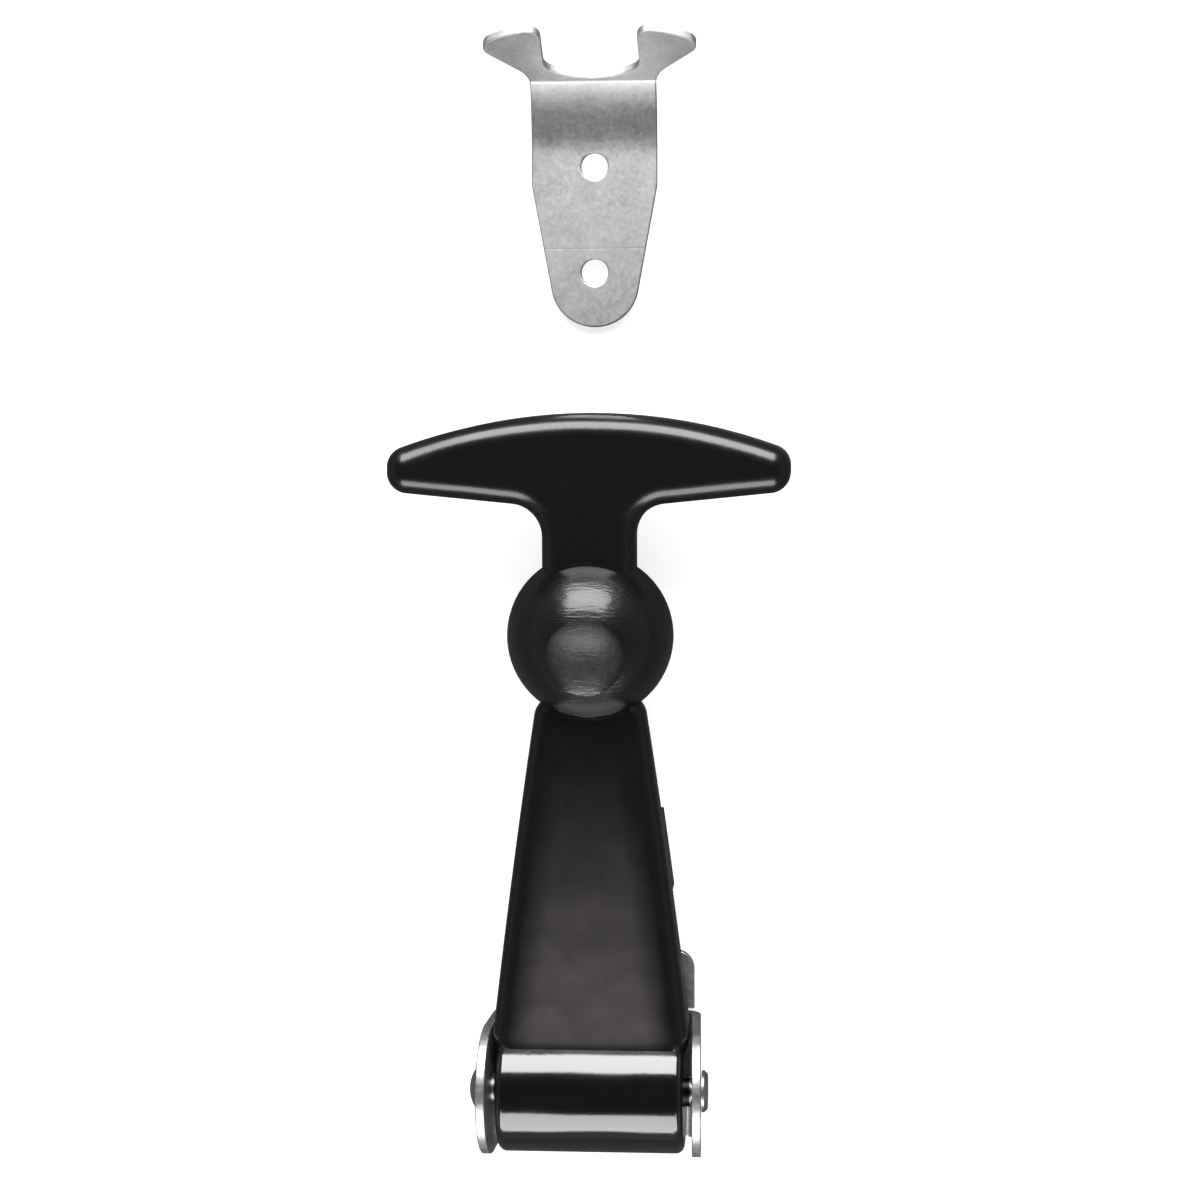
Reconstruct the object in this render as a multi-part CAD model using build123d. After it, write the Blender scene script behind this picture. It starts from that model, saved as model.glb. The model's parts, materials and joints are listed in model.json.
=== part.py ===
"""Rubber T-handle draw latch: a moulded rubber handle, its hinge bracket and its keeper.

The bracket and the keeper lie on one flat surface, which is Z = 0, with +Z pointing away
from it. X runs across the latch, along the hinge pin, and +Y runs from the hinge towards
the T grip. The origin is on the mounting face, straight under the hinge pin.

At rest the handle lies down along +Y, with its ball on the surface, and the keeper stands
by itself beyond the grip. All lengths are in millimetres and all angles in degrees.
"""

from build123d import *
from math import asin, cos, degrees, radians, sqrt, tan
import os

os.makedirs("parts", exist_ok=True)

# ---- pressed sheet, shared by the bracket and the keeper
sheet = 1.4                # thickness of the steel
bend_inside = 1.0          # inside radius of a sharp bend
edge_round = 0.2           # edges rounded by tumbling before plating
screw_hole = 4.2           # clears a 4 mm wood or machine screw

# ---- hinge
pin_height = 11.8          # pin axis above the mounting face
shank_diameter = 4.8
running_clearance = 0.05   # radial, between a pin and the hole that it passes through

# ---- rubber handle; reaches are measured from the pin axis along the handle
barrel_radius = 9.5
barrel_end_round = 1.3
ball_radius = 12.7
ball_reach = 70.5
strap_root_reach = 5.0
strap_root_width = 31.0    # across its corners, before they are rounded
strap_shoulder = 1.2       # its corners stand out past the barrel's ends, each side
strap_neck_width = 16.2
strap_neck_depth = 3.6     # how far the strap runs into the ball
strap_side_bow = 0.3       # how far its sides stand out of a straight line
strap_root_thickness = 12.0
strap_neck_thickness = 7.2
strap_edge_round = 2.5
strap_root_round = 4.0
strap_neck_round = 3.4
foot_start = 31.0          # rubber foot across the back of the strap
foot_length = 12.0
foot_height = 4.0
foot_round = 1.5
stem_width = 14.0
stem_thickness = 12.6
grip_span = 61.0
grip_apex_reach = 104.3
grip_tip_height = 5.9      # height of the grip's rounded ends
grip_arc_drop = 5.8        # how far the tips' tops lie below the apex
grip_underside_rise = 2.3  # how far the underside climbs from the stem to the tip
grip_tip_round = 3.2
grip_root_round = 5.0      # between the stem and the grip's underside
grip_edge_round = 3.1
dish_rim_radius = 5.9      # thumb dish in the front of the ball
dish_radius = 9.5
dish_tilt = 12.0           # from the ball's front pole towards the hinge

# ---- hinge bracket
barrel_side_play = 0.6     # each side, at the foot of the ears
ear_radius = 10.0
ear_lean = 2.2             # the ears spring outwards after bending
apron_reach = 19.8
apron_width = 30.6
apron_corner = 3.0
relief_width = 0.6         # bend relief between the ears and the apron
bracket_hole_spacing = 16.0

# ---- hinge rivet
head_diameter = 8.6
head_height = 2.1
spigot_diameter = 3.8      # turned down to pass through the plain ear
tail_diameter = 6.4
tail_height = 0.9
tail_chamfer = 0.5
seat_gap = 0.02            # between the rivet's flat seats and the leaning ears

# ---- keeper
keeper_start = 117.5       # rounded end of its plate, from the pin axis
keeper_width = 19.4
keeper_end_radius = 6.8
keeper_taper_reach = 21.8  # from the rounded end to where the sides run parallel
keeper_first_hole = 8.4    # from the rounded end
keeper_hole_spacing = 16.3
ramp_start = 27.2          # from the rounded end to where the plate starts to curve up
ramp_radius = 26.0
ramp_angle = 24.0
tab_angle = 58.0           # from the mounting face up to the forked tab
tab_length = 11.9
wing_span = 34.6           # to the corners that the wing tips' rounds cut back
wing_tip_height = 8.0      # heights on the tab run from the end of its bend
wing_tip_round = 2.0
wing_crown = 1.0           # how far the wings' tops bow out of a straight line
wing_root_height = 1.0     # where the wings' undersides meet the plate's sides
wing_root_round = 5.0
notch_width = 14.6
notch_bottom_radius = 12.0
notch_corner_round = 2.2
notch_mouth_round = 2.0
notch_bottom_height = 0.6
tab_cut_depth = 6.5        # how far below its bend the tab's outline still trims the sheet

# ---- worked out from the sizes above
rest_tilt = degrees(asin((ball_radius - pin_height) / ball_reach))
barrel_length = strap_root_width - 2 * strap_shoulder
strap_neck_reach = ball_reach - ball_radius + strap_neck_depth
ear_foot_gap = barrel_length + 2 * barrel_side_play
ear_width = sheet / cos(radians(ear_lean))
ear_top = pin_height + ear_radius
rivet_ear_inner = ear_foot_gap / 2 + pin_height * tan(radians(ear_lean))
rivet_ear_outer = rivet_ear_inner + ear_width


def ear_inner_face(height):
    """Distance from the middle of the bracket to an ear's inner face, at a height."""
    return ear_foot_gap / 2 + height * tan(radians(ear_lean))


def runs_along(edge, direction):
    """True for a straight edge along an axis, which is where a bend begins or ends."""
    return edge.geom_type == GeomType.LINE and abs((edge % 0.5).dot(direction)) > 0.999


def crosses_sheet(edge):
    """True for a short straight edge from one side of the sheet to the other."""
    return edge.geom_type == GeomType.LINE and abs(edge.length - sheet) < sheet / 4


def channel_profile(thickness_out, floor, corner):
    """Closed U outline of the bent channel, grown outwards from the ears' inner faces."""
    top_half = ear_inner_face(ear_top) + thickness_out
    foot_half = ear_inner_face(floor) + thickness_out
    outline = Polyline(
        (-top_half, ear_top),
        (-foot_half, floor),
        (foot_half, floor),
        (top_half, ear_top),
        close=True,
    )
    face = make_face(outline)
    return fillet(face.vertices().group_by(Axis.Y)[0], corner)


def hinge_channel():
    """The base between the two ears, with the ears rounded about the pin."""
    outer = channel_profile(ear_width, 0, bend_inside + sheet)
    inner = channel_profile(0, sheet, bend_inside)
    channel = extrude(Plane.XZ * (outer - inner), ear_radius, both=True)
    side = Pos(0, pin_height / 2) * Rectangle(2 * ear_radius, pin_height)
    side += Pos(0, pin_height) * Circle(ear_radius)
    channel &= extrude(Plane.YZ * side, barrel_length, both=True)
    ear_rims = channel.edges().filter_by(
        lambda edge: edge.center().Z > 2 * (bend_inside + sheet)
        and not crosses_sheet(edge)
        and not runs_along(edge, Vector(0, 1, 0))
    )
    return fillet(ear_rims, edge_round)


def apron_plate():
    """Flat plate under the strap, with the two screw holes that the closed strap hides."""
    plate_start = ear_radius + relief_width
    plate_length = apron_reach - plate_start
    plate = Pos(0, plate_start + plate_length / 2) * Rectangle(apron_width, plate_length)
    plate = fillet(plate.vertices().group_by(Axis.Y)[-1], apron_corner)
    neck_width = ear_foot_gap - 2 * (bend_inside + relief_width)
    neck = Pos(0, plate_start - relief_width / 2) * Rectangle(neck_width, relief_width)
    hole_row = Pos(0, plate_start + plate_length / 2) * GridLocations(bracket_hole_spacing, 0, 2, 1)
    apron = extrude(plate + neck - hole_row * Circle(screw_hole / 2), sheet)
    rims = apron.edges().filter_by(
        lambda edge: edge.center().Y > plate_start + relief_width and not crosses_sheet(edge)
    )
    return fillet(rims, edge_round)


def base_bracket():
    """One pressed plate: base, two ears and apron."""
    bracket = hinge_channel() + apron_plate()
    pin_line = Pos(0, 0, pin_height) * Rot(Y=90)
    shank_hole = Cylinder(shank_diameter / 2 + running_clearance, 2 * barrel_length)
    spigot_hole = Cylinder(spigot_diameter / 2 + running_clearance, 2 * barrel_length)
    bracket -= pin_line * Pos(0, 0, -barrel_length) * shank_hole
    bracket -= pin_line * Pos(0, 0, barrel_length) * spigot_hole
    return bracket


def hinge_rivet():
    """Shouldered rivet: domed head on one ear, peened tail on the other."""
    lean = tan(radians(ear_lean))
    head_seat = -(rivet_ear_outer + head_diameter / 2 * lean + seat_gap)
    shoulder = rivet_ear_inner - shank_diameter / 2 * lean - seat_gap
    tail_seat = rivet_ear_outer + tail_diameter / 2 * lean + seat_gap
    tail_end = tail_seat + tail_height
    shank = shank_diameter / 2
    spigot = spigot_diameter / 2
    tail = tail_diameter / 2
    head = head_diameter / 2
    dome_top = head_seat - head_height
    dome_radius = (head**2 + head_height**2) / (2 * head_height)
    dome = RadiusArc((dome_top, 0), (head_seat, head), dome_radius)
    body = Polyline(
        (head_seat, head),
        (head_seat, shank),
        (shoulder, shank),
        (shoulder, spigot),
        (tail_seat, spigot),
        (tail_seat, tail),
        (tail_end - tail_chamfer, tail),
        (tail_end, tail - tail_chamfer),
        (tail_end, 0),
        (dome_top, 0),
    )
    profile = make_face([dome, body])
    return Pos(0, 0, pin_height) * revolve(profile, Axis.X)


def round_corners(outline, rounds):
    """Rounds corners of a flat outline, each given with its radius."""
    for corner, radius in rounds.items():
        outline = fillet(outline.vertices().sort_by_distance(corner)[0], radius)
    return outline


def strap_outline():
    """Front view of the strap, wider at the hinge, with sides that bow out a little."""
    root = strap_root_width / 2
    neck = strap_neck_width / 2
    side_middle = (root + neck) / 2 + strap_side_bow
    middle_reach = (strap_root_reach + strap_neck_reach) / 2
    right = ThreePointArc(
        (root, strap_root_reach),
        (side_middle, middle_reach),
        (neck, strap_neck_reach),
    )
    left = mirror(right, Plane.YZ)
    root_end = Line((-root, strap_root_reach), (root, strap_root_reach))
    neck_end = Line((-neck, strap_neck_reach), (neck, strap_neck_reach))
    rounds = {
        (-root, strap_root_reach): strap_root_round,
        (root, strap_root_reach): strap_root_round,
        (-neck, strap_neck_reach): strap_neck_round,
        (neck, strap_neck_reach): strap_neck_round,
    }
    return round_corners(make_face([right, left, root_end, neck_end]), rounds)


def strap():
    """The stretching part of the handle, thinner towards the ball, with soft edges."""
    side = Polyline(
        (0, -strap_root_thickness / 2),
        (strap_neck_reach, -strap_neck_thickness / 2),
        (strap_neck_reach, strap_neck_thickness / 2),
        (0, strap_root_thickness / 2),
        close=True,
    )
    wedge = extrude(Plane.YZ * make_face(side), barrel_length, both=True)
    body = extrude(strap_outline(), strap_root_thickness, both=True) & wedge
    long_edges = body.faces().sort_by(Axis.Z)[0].edges() + body.faces().sort_by(Axis.Z)[-1].edges()
    return fillet(long_edges, strap_edge_round)


def strap_half_thickness(reach):
    """Half the strap's thickness at a distance from the pin axis."""
    taper = (strap_root_thickness - strap_neck_thickness) / strap_neck_reach
    return (strap_root_thickness - taper * reach) / 2


def foot():
    """Rubber foot across the strap's back, as wide as the strap."""
    middle = foot_start + foot_length / 2
    band = Pos(0, middle) * Rectangle(strap_root_width, foot_length)
    height = strap_half_thickness(middle) + foot_height
    block = extrude(strap_outline() & band, -height)
    return fillet(block.faces().sort_by(Axis.Z)[0].edges(), foot_round)


def ball():
    """The ball that the keeper holds, with a thumb dish in its front."""
    rim_distance = sqrt(ball_radius**2 - dish_rim_radius**2)
    cutter_distance = rim_distance + sqrt(dish_radius**2 - dish_rim_radius**2)
    return Sphere(ball_radius) - Rot(X=dish_tilt) * Pos(0, 0, cutter_distance) * Sphere(dish_radius)


def grip_outline():
    """Front view of the T: an arched bar on a straight stem."""
    half = grip_span / 2
    stem = stem_width / 2
    tip_top = grip_apex_reach - grip_arc_drop
    tip_bottom = tip_top - grip_tip_height
    root = tip_bottom - grip_underside_rise
    crown = ThreePointArc((-half, tip_top), (0, grip_apex_reach), (half, tip_top))
    rest = Polyline(
        (half, tip_top),
        (half, tip_bottom),
        (stem, root),
        (stem, ball_reach),
        (-stem, ball_reach),
        (-stem, root),
        (-half, tip_bottom),
        (-half, tip_top),
    )
    rounds = {
        (-stem, root): grip_root_round,
        (stem, root): grip_root_round,
        (-half, tip_bottom): grip_tip_round,
        (half, tip_bottom): grip_tip_round,
        (-half, tip_top): grip_tip_round,
        (half, tip_top): grip_tip_round,
    }
    return round_corners(make_face([crown, rest]), rounds)


def grip():
    """T grip and stem, with every front and back edge rounded."""
    body = extrude(grip_outline(), stem_thickness / 2, both=True)
    rims = body.faces().sort_by(Axis.Z)[0].edges() + body.faces().sort_by(Axis.Z)[-1].edges()
    return fillet(rims.filter_by(lambda edge: edge.center().Y > ball_reach), grip_edge_round)


def barrel():
    """Eye of the handle, which turns on the rivet between the ears."""
    roll = Rot(Y=90) * Cylinder(barrel_radius, barrel_length)
    return fillet(roll.edges().filter_by(GeomType.CIRCLE), barrel_end_round)


def rubber_handle():
    """One rubber moulding: barrel eye, strap, foot, ball, stem and T grip."""
    handle = barrel() + strap() + foot() + Pos(0, ball_reach) * ball() + grip()
    handle -= Rot(Y=90) * Cylinder(shank_diameter / 2 + running_clearance, 2 * barrel_length)
    return Pos(0, 0, pin_height) * Rot(X=rest_tilt) * handle


def keeper_side_line():
    """Side view of the keeper's mounting face: flat plate, curved ramp, bend and tab."""
    flat = Line((keeper_start, 0), (keeper_start + ramp_start, 0))
    ramp = JernArc(flat @ 1, flat % 1, ramp_radius, ramp_angle)
    bend = JernArc(ramp @ 1, ramp % 1, bend_inside + sheet, tab_angle - ramp_angle)
    tab = Line(bend @ 1, bend @ 1 + (bend % 1) * tab_length)
    return flat, ramp, bend, tab


def keeper_plate_outline(far_end):
    """Plan of the plate: a rounded end that widens to parallel sides."""
    rounded_end = Pos(0, keeper_start + keeper_end_radius) * Circle(keeper_end_radius)
    shoulder = keeper_start + keeper_taper_reach
    parallel = Pos(0, (shoulder + far_end) / 2) * Rectangle(keeper_width, far_end - shoulder)
    return make_hull(rounded_end.edges() + parallel.edges())


def keeper_screw_holes():
    """The two holes in line along the plate."""
    hole = Pos(0, keeper_start + keeper_first_hole, sheet / 2) * Cylinder(screw_hole / 2, 2 * sheet)
    return hole + Pos(0, keeper_hole_spacing) * hole


def half_tab_outline():
    """Front view of half the fork: one wing and half the notch, from the middle line out."""
    half = keeper_width / 2
    mouth = notch_width / 2
    tip = wing_span / 2
    crown = ThreePointArc(
        (mouth, tab_length),
        ((mouth + tip) / 2, (tab_length + wing_tip_height) / 2 + wing_crown),
        (tip, wing_tip_height),
    )
    outside = Polyline(
        (tip, wing_tip_height),
        (half, wing_root_height),
        (half, -tab_cut_depth),
        (0, -tab_cut_depth),
        (0, notch_bottom_height),
    )
    bottom_top = notch_bottom_height + notch_bottom_radius - sqrt(notch_bottom_radius**2 - mouth**2)
    bottom = RadiusArc((0, notch_bottom_height), (mouth, bottom_top), -notch_bottom_radius)
    side = Line((mouth, bottom_top), (mouth, tab_length))
    rounds = {
        (mouth, tab_length): notch_mouth_round,
        (tip, wing_tip_height): wing_tip_round,
        (half, wing_root_height): wing_root_round,
        (mouth, bottom_top): notch_corner_round,
    }
    return round_corners(make_face([crown, outside, bottom, side]), rounds)


def keeper():
    """One pressed plate: screw plate, curved ramp and forked tab."""
    side_line = keeper_side_line()
    section = make_face(offset(Wire(side_line), sheet, side=Side.LEFT))
    bent = extrude(Plane.YZ * section, wing_span, both=True)
    ramp_middle = side_line[1] @ 0.5
    tab_start = side_line[3] @ 0
    tab_direction = side_line[3] % 0
    tab_plane = Plane(
        origin=(0, tab_start.X, tab_start.Y),
        x_dir=(1, 0, 0),
        z_dir=(0, -tab_direction.Y, tab_direction.X),
    )
    half_tab = half_tab_outline()
    tab = half_tab + mirror(half_tab, Plane.YZ)
    plate_cutter = extrude(keeper_plate_outline(ramp_middle.X), tab_length)
    tab_cutter = extrude(tab_plane * tab, ramp_radius, both=True)
    plate = (bent & (plate_cutter + tab_cutter)) - keeper_screw_holes()
    rims = plate.edges().filter_by(
        lambda edge: not runs_along(edge, Vector(1, 0, 0)) and not crosses_sheet(edge)
    )
    return fillet(rims, edge_round)


nodes = {
    "base_bracket": base_bracket,
    "hinge_rivet": hinge_rivet,
    "rubber_handle": rubber_handle,
    "keeper": keeper,
}

for name, make_piece in nodes.items():
    export_step(make_piece(), f"parts/{name}.step")
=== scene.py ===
"""Looks for a rubber T-handle draw latch: black moulded rubber on zinc plated steel.

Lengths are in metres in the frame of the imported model: X along the hinge pin, +Y from the
hinge towards the T grip, and +Z away from the mounting face. Angles are in degrees.
"""

import json
import math
from functools import partial

import bpy
from mathutils import Matrix, Vector


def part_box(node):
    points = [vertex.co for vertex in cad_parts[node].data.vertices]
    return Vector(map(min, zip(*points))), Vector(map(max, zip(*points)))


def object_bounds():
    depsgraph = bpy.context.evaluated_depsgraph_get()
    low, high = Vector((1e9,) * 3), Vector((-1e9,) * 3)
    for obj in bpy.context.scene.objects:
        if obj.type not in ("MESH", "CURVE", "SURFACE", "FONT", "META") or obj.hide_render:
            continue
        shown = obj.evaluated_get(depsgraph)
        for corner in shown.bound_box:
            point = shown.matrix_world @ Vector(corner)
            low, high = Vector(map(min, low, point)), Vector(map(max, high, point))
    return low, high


MM = 0.001

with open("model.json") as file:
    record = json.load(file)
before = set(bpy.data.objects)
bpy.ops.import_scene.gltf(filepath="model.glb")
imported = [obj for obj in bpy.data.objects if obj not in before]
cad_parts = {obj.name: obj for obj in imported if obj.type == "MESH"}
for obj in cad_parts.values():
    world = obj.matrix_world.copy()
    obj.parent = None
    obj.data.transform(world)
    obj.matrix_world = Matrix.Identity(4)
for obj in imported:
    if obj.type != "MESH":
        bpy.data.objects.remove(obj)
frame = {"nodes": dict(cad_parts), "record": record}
cad_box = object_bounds()
nodes = frame["nodes"]
keeper_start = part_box("keeper")[0][1]
pin = Vector(frame["record"]["behaviour"]["joints"][0]["pos_m"])
table_middle = Vector([(low + high) / 2 for low, high in zip(*cad_box)])

# ---- rubber handle
BALL_RADIUS = 12.7 * MM
BALL_REACH = 70.5 * MM
BALL_MIDDLE = Vector((0, BALL_REACH, BALL_RADIUS))
DISH_MIDDLE = BALL_MIDDLE + Vector((0, -2.6, 11.5)) * MM      # the thumb dish
STRAP_START = 7.0 * MM          # where the strap's face rises out of the barrel
STRAP_RISE = 2.0 * MM
STRAP_END = 58.0 * MM           # where it runs into the ball
STRAP_ROOT_HALF = 14.9 * MM
STRAP_END_HALF = 8.4 * MM
STRAP_FRONT = 6.0 * MM          # the strap's face by the hinge, above the pin
CREASE_REACH = 15.6 * MM
PITS_MIDDLE = Vector((-8 * MM, 13 * MM, pin.z + STRAP_FRONT))

# ---- rivet
SHANK_HALF = 15.0 * MM          # its bare length between the ears, from the middle
SHANK_EDGE = 0.3 * MM

# ---- keeper, from its rounded end
SCRIBE_REACH = 12.1 * MM
RAMP_REACH = 27.2 * MM
BEND_REACH = 37.8 * MM
POLISH_AND_SHADE_EDGE = 2.0 * MM

# ---- studio
TABLE_SIZE = 3.0
TABLE_GLOW = 0.80               # brings the lit table up to white for the camera
TABLE_GLOW_IN_GLOSS = 0.02
STRIP_WIDTH = 0.5
STRIP_DISTANCE = 0.45
WALL_GLOW = 0.32                # the world near the horizon
OVERHEAD_GLOW = 0.06
WALL_FOOT = 0.10                # heights on a sphere of radius 1 round the latch
OVERHEAD = 0.90
LENS = 86.0
SENSOR = 36.0
NEAREST_SEEN = 0.01
CAMERA_DISTANCE = 0.430
CAMERA_ASIDE = 4.53             # leaning towards +X
CAMERA_ABOVE = 4.18             # leaning towards the grip
CAMERA_ROLL = -0.22             # how far the camera's right side is raised
AIM_POINT = Vector((0.0, 77.3, 12.0)) * MM

# ---- sockets of Blender's Mix node that carry colours
FROM_COLOUR = 6
TO_COLOUR = 7
MIXED_COLOUR = 2


def srgb(code):
    """An sRGB hex colour as linear red, green, blue and alpha."""
    values = [int(code[i:i + 2], 16) / 255 for i in (1, 3, 5)]
    linear = [v / 12.92 if v <= 0.04045 else ((v + 0.055) / 1.055) ** 2.4 for v in values]
    return (*linear, 1.0)


def add_node(tree, kind, inputs=None, output=0, **settings):
    """Adds a node with its settings and links, and gives back one of its output sockets."""
    node = tree.nodes.new(kind)
    for name, value in settings.items():
        setattr(node, name, value)
    for socket, value in (inputs or {}).items():
        if isinstance(value, bpy.types.NodeSocket):
            tree.links.new(value, node.inputs[socket])
        else:
            node.inputs[socket].default_value = value
    return node.outputs[output] if node.outputs else None


def new_material(name):
    """An empty node material, and the function that adds nodes to it."""
    material = bpy.data.materials.new(name)
    material.use_nodes = True
    material.node_tree.nodes.clear()
    return material, partial(add_node, material.node_tree)


def round_patch(add, place, middle, inner, outer):
    """1 within an inner distance of a point, fading to 0 at an outer distance."""
    ends = {0: place, 1: tuple(middle)}
    distance = add("ShaderNodeVectorMath", ends, output="Value", operation="DISTANCE")
    return add("ShaderNodeMapRange", {
        "Value": distance, "From Min": inner, "From Max": outer, "To Min": 1.0, "To Max": 0.0,
    })


def band(add, position, middle, inner, outer):
    """1 along a straight band across one axis, fading to 0 at each side of it."""
    offset = add("ShaderNodeMath", {0: position, 1: middle}, operation="SUBTRACT")
    distance = add("ShaderNodeMath", {0: offset}, operation="ABSOLUTE")
    return add("ShaderNodeMapRange", {
        "Value": distance, "From Min": inner, "From Max": outer, "To Min": 1.0, "To Max": 0.0,
    })


def cloud(add, place, size, stretch=(1, 1, 1), detail=2.0):
    """Soft noise with blobs of about the given size, longer along an axis whose stretch is over 1."""
    squeezed = add("ShaderNodeMapping", {"Vector": place, "Scale": tuple(1 / s for s in stretch)})
    blobs_per_wave = 2
    wave_scale = 1 / (blobs_per_wave * size)
    return add("ShaderNodeTexNoise", {"Vector": squeezed, "Scale": wave_scale, "Detail": detail})


def overlap(add, first, *others):
    """Masks multiplied together, so that it is 1 only where each of them is."""
    shared = first
    for mask in others:
        shared = add("ShaderNodeMath", {0: shared, 1: mask}, operation="MULTIPLY")
    return shared


def weighted_sum(add, parts):
    """Adds up values, each multiplied by its own weight."""
    total = 0.0
    for value, weight in parts:
        total = add("ShaderNodeMath", {0: value, 1: weight, 2: total}, operation="MULTIPLY_ADD")
    return total


# Where this mask is 1 the rubber is rougher and its colour is painted greyer, as a painted sheen.
def strap_haze_and_sheen(add, axes, off_barrel):
    """1 along the middle of the strap's face by the hinge, fading to its sides and to the ball."""
    off_ball = add("ShaderNodeMapRange", {
        "Value": axes["Y"], "From Min": STRAP_END - 1 * MM, "From Max": STRAP_END,
        "To Min": 1.0, "To Max": 0.0,
    })
    aside = add("ShaderNodeMath", {0: axes["X"]}, operation="ABSOLUTE")
    side = add("ShaderNodeMapRange", {
        "Value": axes["Y"], "From Min": STRAP_START, "From Max": STRAP_END,
        "To Min": STRAP_ROOT_HALF, "To Max": STRAP_END_HALF,
    })
    from_side = add("ShaderNodeMath", {0: side, 1: aside}, operation="SUBTRACT")
    inside = add("ShaderNodeMapRange", {"Value": from_side, "From Min": 2.0 * MM, "From Max": 6.0 * MM})
    fading = add("ShaderNodeMapRange", {
        "Value": axes["Y"], "From Min": STRAP_START, "From Max": STRAP_END, "To Min": 1.0, "To Max": 0.0,
    }, interpolation_type="SMOOTHSTEP")
    return overlap(add, off_barrel, off_ball, inside, fading)


def mould_marks(add, place, axes, pits, haze_and_sheen):
    """What the mould left on the handle, as heights in millimetres for a weighted sum.

    Pits and a faint crease lie on the strap by the hinge, and a parting line runs all round.
    """
    pitted = round_patch(add, place, PITS_MIDDLE, 2 * MM, 9 * MM)
    crease = band(add, axes["Y"], CREASE_REACH, 0.1 * MM, 1.4 * MM)
    slope = (BALL_RADIUS - pin.z) / BALL_REACH
    centre_plane = add("ShaderNodeMath", {0: axes["Y"], 1: -slope, 2: axes["Z"]}, operation="MULTIPLY_ADD")
    parting_line = band(add, centre_plane, pin.z, 0.06 * MM, 0.20 * MM)
    return [
        (overlap(add, pits, pitted), 0.035),
        (overlap(add, crease, haze_and_sheen), -0.015),
        (parting_line, 0.05),
    ]


def moulded_rubber():
    """Black EPDM rubber pressed in a polished mould.

    The barrel keeps the mould's gloss and ripples a little, so its highlights waver. A painted sheen
    greys the strap by the hinge, where it is also rougher, the keeper has scuffed the ball in fine
    lines across it, and the thumb dish is grained and dusty.
    """
    material, add = new_material("moulded_epdm_rubber")
    place = add("ShaderNodeTexCoord", output="Object")
    axes = add("ShaderNodeSeparateXYZ", {0: place}).node.outputs

    off_barrel = add("ShaderNodeMapRange", {
        "Value": axes["Y"], "From Min": STRAP_START, "From Max": STRAP_START + STRAP_RISE,
    })
    haze_and_sheen = strap_haze_and_sheen(add, axes, off_barrel)
    on_ball = round_patch(add, place, BALL_MIDDLE, 12.9 * MM, 13.2 * MM)
    in_dish = round_patch(add, place, DISH_MIDDLE, 4.6 * MM, 6.0 * MM)

    ripple = cloud(add, place, 5.0 * MM, detail=0.0)
    blotches = cloud(add, place, 2.2 * MM, detail=4.0)
    pits = cloud(add, place, 0.50 * MM)
    fine_grain = cloud(add, place, 0.30 * MM)
    scuffs = cloud(add, place, 0.22 * MM, stretch=(9, 1, 1))
    dish_grain = overlap(add, pits, in_dish)

    # Painted sheen: the strap's face by the hinge is painted greyer and patchy, fading towards the ball; the
    # thumb dish is greyed by its dusty grain.
    dust_and_sheen = weighted_sum(add, [(haze_and_sheen, 0.10), (overlap(add, haze_and_sheen, blotches), 0.55), (dish_grain, 0.55)])
    colour = add("ShaderNodeMix", {
        "Factor": dust_and_sheen, FROM_COLOUR: srgb("#0a0808"), TO_COLOUR: srgb("#4b4446"),
    }, output=MIXED_COLOUR, data_type="RGBA")
    roughness = weighted_sum(add, [
        (off_barrel, 0.14), (haze_and_sheen, 0.25), (on_ball, 0.02), (in_dish, 0.20), (blotches, 0.10), (1.0, 0.08),
    ])
    gloss = weighted_sum(add, [(off_barrel, -0.75), (in_dish, -0.15), (haze_and_sheen, -0.10), (1.0, 1.0)])
    height = weighted_sum(add, [
        (ripple, 0.35), (fine_grain, 0.005), (overlap(add, scuffs, on_ball), 0.060), (dish_grain, 0.060),
    ] + mould_marks(add, place, axes, pits, haze_and_sheen))
    relief = add("ShaderNodeBump", {"Height": height, "Distance": MM})

    surface = add("ShaderNodeBsdfPrincipled", {
        "Base Color": colour, "Roughness": roughness, "IOR": 1.5, "Normal": relief,
        "Coat Weight": gloss, "Coat IOR": 1.5, "Coat Roughness": 0.12, "Coat Normal": relief,
    })
    add("ShaderNodeOutputMaterial", {"Surface": surface})
    return material


def zinc_plate(name, dull, bright, roughness, shaded_shank=False):
    """Zinc plate on steel: each patch of crystals has its own tone and gloss.

    Real crystals are too fine to show, so they are drawn at about 0.3 mm. A rivet's bare shank is
    painted dark as painted shade, for the gaps beside the barrel where it shows.
    """
    material, add = new_material(name)
    place = add("ShaderNodeTexCoord", output="Object")
    patches = cloud(add, place, 1.2 * MM, detail=4.0)
    crystals = cloud(add, place, 0.28 * MM)
    tone = weighted_sum(add, [(patches, 1.4), (crystals, 1.2), (1.0, -0.8)])
    colour = add("ShaderNodeMix", {
        "Factor": tone, FROM_COLOUR: srgb(dull), TO_COLOUR: srgb(bright),
    }, output=MIXED_COLOUR, data_type="RGBA")
    # Painted shade: the bare shank between the ears is painted dark, standing in for the shade in the gaps
    # beside the barrel.
    if shaded_shank:
        along = add("ShaderNodeSeparateXYZ", {0: place}, output="X")
        shank_shade = band(add, along, 0.0, SHANK_HALF, SHANK_HALF + SHANK_EDGE)
        colour = add("ShaderNodeMix", {
            "Factor": shank_shade, FROM_COLOUR: colour, TO_COLOUR: srgb("#2a2727"),
        }, output=MIXED_COLOUR, data_type="RGBA")
    mean_mottle = 0.13          # both clouds average a half
    mottled = weighted_sum(add, [(crystals, 0.16), (patches, 0.10), (1.0, roughness - mean_mottle)])
    height = weighted_sum(add, [(crystals, 0.010), (patches, 0.03)])
    relief = add("ShaderNodeBump", {"Height": height, "Distance": MM})
    surface = add("ShaderNodeBsdfPrincipled", {
        "Base Color": colour, "Metallic": 1.0, "Roughness": mottled, "Normal": relief,
    })
    add("ShaderNodeOutputMaterial", {"Surface": surface})
    return material


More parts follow.
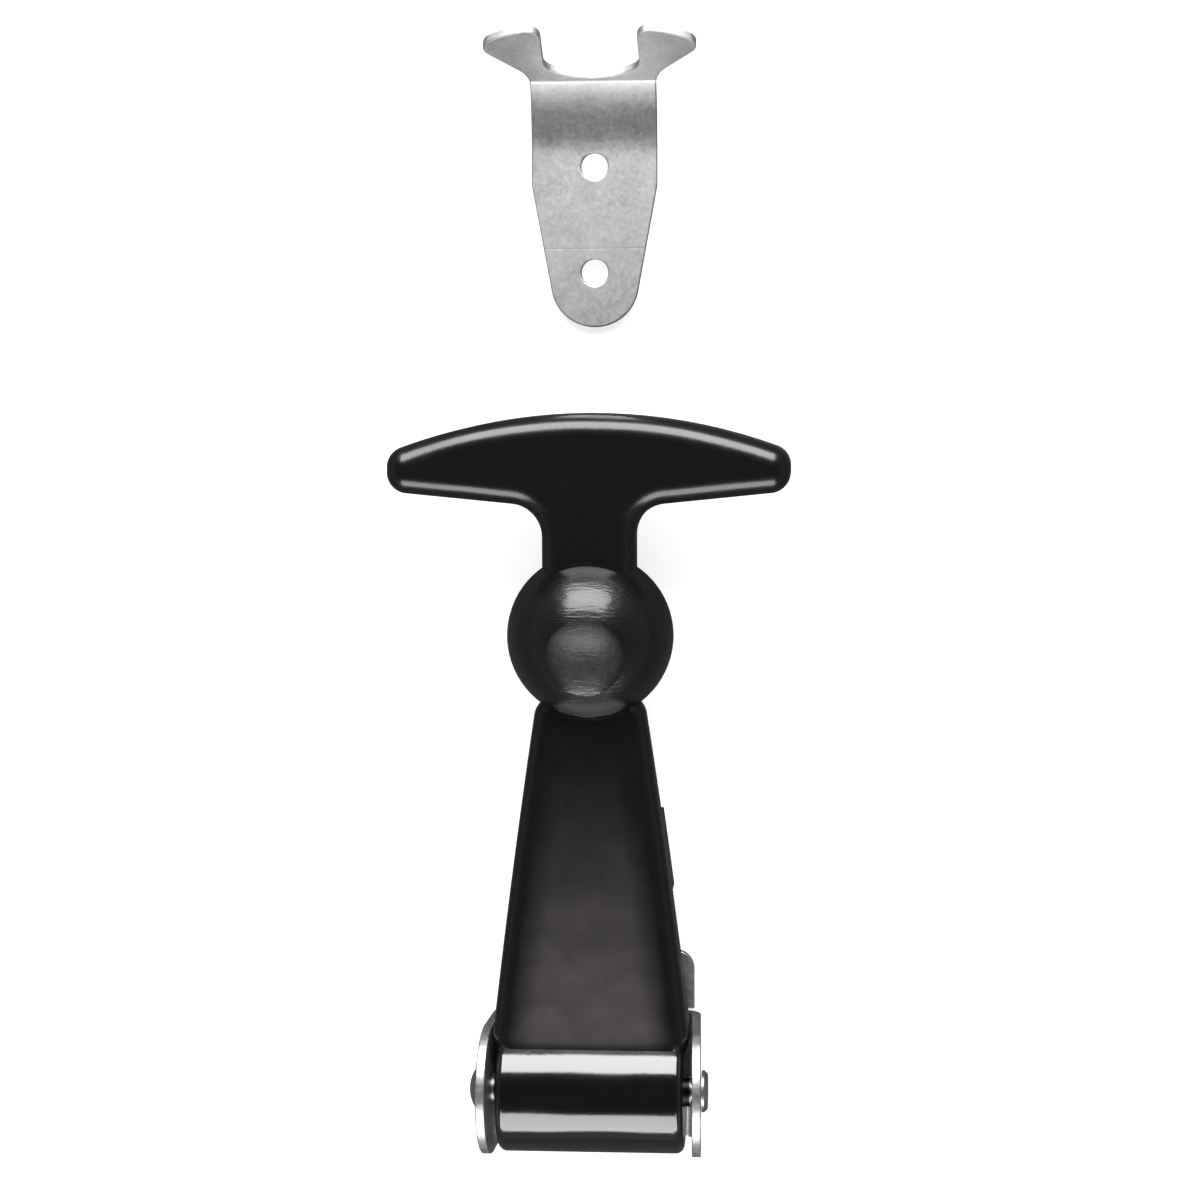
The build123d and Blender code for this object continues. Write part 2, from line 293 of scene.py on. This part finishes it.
def satin_keeper_plate():
    """Dull zinc plate on a tumbled pressing: finely mottled, and glossier where the press bent it, with
    painted shade along that bend.

    Real crystals are too fine to show, so they are drawn at 0.3 mm. A line is scribed across the
    flat between the two screw holes.
    """
    material, add = new_material("satin_zinc_plate")
    place = add("ShaderNodeTexCoord", output="Object")
    along = add("ShaderNodeSeparateXYZ", {0: place}, output="Y")
    patches = cloud(add, place, 1.6 * MM, detail=5.0)
    crystals = cloud(add, place, 0.30 * MM, detail=3.0)
    scribe = band(add, along, keeper_start + SCRIBE_REACH, 0.04 * MM, 0.12 * MM)
    ramp_middle = keeper_start + (RAMP_REACH + BEND_REACH) / 2
    ramp_half = (BEND_REACH - RAMP_REACH) / 2
    # Along the ramp the plate is glossier, and its tone is painted darker there as painted shade.
    polish_and_shade = band(add, along, ramp_middle, ramp_half - POLISH_AND_SHADE_EDGE, ramp_half + POLISH_AND_SHADE_EDGE)
    tone = weighted_sum(add, [(patches, 0.9), (crystals, 0.8), (polish_and_shade, -0.1), (scribe, -0.3), (1.0, -0.3)])
    colour = add("ShaderNodeMix", {
        "Factor": tone, FROM_COLOUR: srgb("#a6a6a6"), TO_COLOUR: srgb("#d6d6d6"),
    }, output=MIXED_COLOUR, data_type="RGBA")
    roughness = weighted_sum(add, [(crystals, 0.10), (polish_and_shade, -0.10), (1.0, 0.45)])
    height = weighted_sum(add, [(crystals, 0.006), (patches, 0.03), (scribe, -0.008)])
    relief = add("ShaderNodeBump", {"Height": height, "Distance": MM})
    surface = add("ShaderNodeBsdfPrincipled", {
        "Base Color": colour, "Metallic": 1.0, "Roughness": roughness, "Normal": relief,
    })
    add("ShaderNodeOutputMaterial", {"Surface": surface})
    return material


def dress(node, material):
    """Gives a CAD node its finish."""
    piece = nodes[node]
    piece.data.materials.clear()
    piece.data.materials.append(material)


def white_table():
    """A pale table top that the camera sees as white, with the latch's soft shadow.

    It is darker where the latch mirrors it, so that the black rubber stays black.
    """
    bpy.ops.mesh.primitive_plane_add(size=TABLE_SIZE, location=(table_middle.x, table_middle.y, 0.0))
    table = bpy.context.object
    table.name = "table_top"
    material, add = new_material("white_table")
    rays = add("ShaderNodeLightPath").node.outputs
    tint = add("ShaderNodeMix", {
        "Factor": rays["Is Glossy Ray"], FROM_COLOUR: srgb("#b0b0b0"), TO_COLOUR: srgb("#4a4a4a"),
    }, output=MIXED_COLOUR, data_type="RGBA")
    glow = weighted_sum(add, [
        (rays["Is Camera Ray"], TABLE_GLOW), (rays["Is Glossy Ray"], TABLE_GLOW_IN_GLOSS),
    ])
    surface = add("ShaderNodeBsdfPrincipled", {
        "Base Color": tint, "Roughness": 0.9, "Specular IOR Level": 0.0,
        "Emission Color": (1, 1, 1, 1), "Emission Strength": glow,
    })
    add("ShaderNodeOutputMaterial", {"Surface": surface})
    table.data.materials.append(material)


def softbox(name, angle, spread, radiance):
    """A strip of light that runs across X, at an angle from straight up towards +Y.

    Its spread is the angle it fills as seen from the latch, and its radiance is what a mirror
    would show of it.
    """
    height = 2 * STRIP_DISTANCE * math.tan(math.radians(spread / 2))
    lamp = bpy.data.lights.new(name, "AREA")
    lamp.shape = "RECTANGLE"
    lamp.size = STRIP_WIDTH
    lamp.size_y = height
    lamp.energy = radiance * math.pi * STRIP_WIDTH * height
    box = bpy.data.objects.new(name, lamp)
    tilt = math.radians(angle)
    box.location = table_middle + Vector((0, math.sin(tilt), math.cos(tilt))) * STRIP_DISTANCE
    box.rotation_euler = (-tilt, 0, 0)
    box.visible_camera = False
    bpy.context.collection.objects.link(box)


def studio_world():
    """White to the camera; to the latch, dark overhead and paler towards the studio's walls."""
    world = bpy.data.worlds.new("studio")
    bpy.context.scene.world = world
    world.use_nodes = True
    world.node_tree.nodes.clear()
    add = partial(add_node, world.node_tree)
    direction = add("ShaderNodeTexCoord", output="Generated")
    height = add("ShaderNodeSeparateXYZ", {0: direction}, output="Z")
    glow = add("ShaderNodeMapRange", {
        "Value": height, "From Min": WALL_FOOT, "From Max": OVERHEAD,
        "To Min": WALL_GLOW, "To Max": OVERHEAD_GLOW,
    })
    to_camera = add("ShaderNodeLightPath", output="Is Camera Ray")
    strength = add("ShaderNodeMath", {0: glow, 1: to_camera}, operation="MAXIMUM")
    background = add("ShaderNodeBackground", {"Strength": strength})
    add("ShaderNodeOutputWorld", {"Surface": background})


def product_camera():
    """Looks almost straight down on the latch, leaning a little to +X and to the grip."""
    camera = bpy.data.objects.new("product_camera", bpy.data.cameras.new("product_camera"))
    camera.data.lens = LENS
    camera.data.sensor_width = SENSOR
    camera.data.clip_start = NEAREST_SEEN
    aside, above, roll = [math.radians(angle) for angle in (CAMERA_ASIDE, CAMERA_ABOVE, CAMERA_ROLL)]
    toward = Vector((math.sin(aside) * math.cos(above), math.sin(above), math.cos(aside) * math.cos(above)))
    level = Vector((0, 1, 0)).cross(toward).normalized()
    upright = toward.cross(level)
    right = level * math.cos(roll) + upright * math.sin(roll)
    turn = Matrix((right, toward.cross(right), toward)).transposed().to_4x4()
    camera.matrix_world = Matrix.Translation(AIM_POINT + toward * CAMERA_DISTANCE) @ turn
    bpy.context.collection.objects.link(camera)
    bpy.context.scene.camera = camera


dress("rubber_handle", moulded_rubber())
dress("base_bracket", zinc_plate("bright_zinc_plate", "#b4b6b8", "#dedfe0", 0.38))
dress("hinge_rivet", zinc_plate("rivet_zinc_plate", "#9fa0a2", "#c8c9ca", 0.36, shaded_shank=True))
dress("keeper", satin_keeper_plate())

white_table()
softbox("grip_side_strip", angle=58, spread=39, radiance=10.0)
softbox("hinge_side_strip", angle=-57, spread=32, radiance=6.0)
studio_world()
product_camera()
bpy.context.scene.view_settings.view_transform = "Standard"
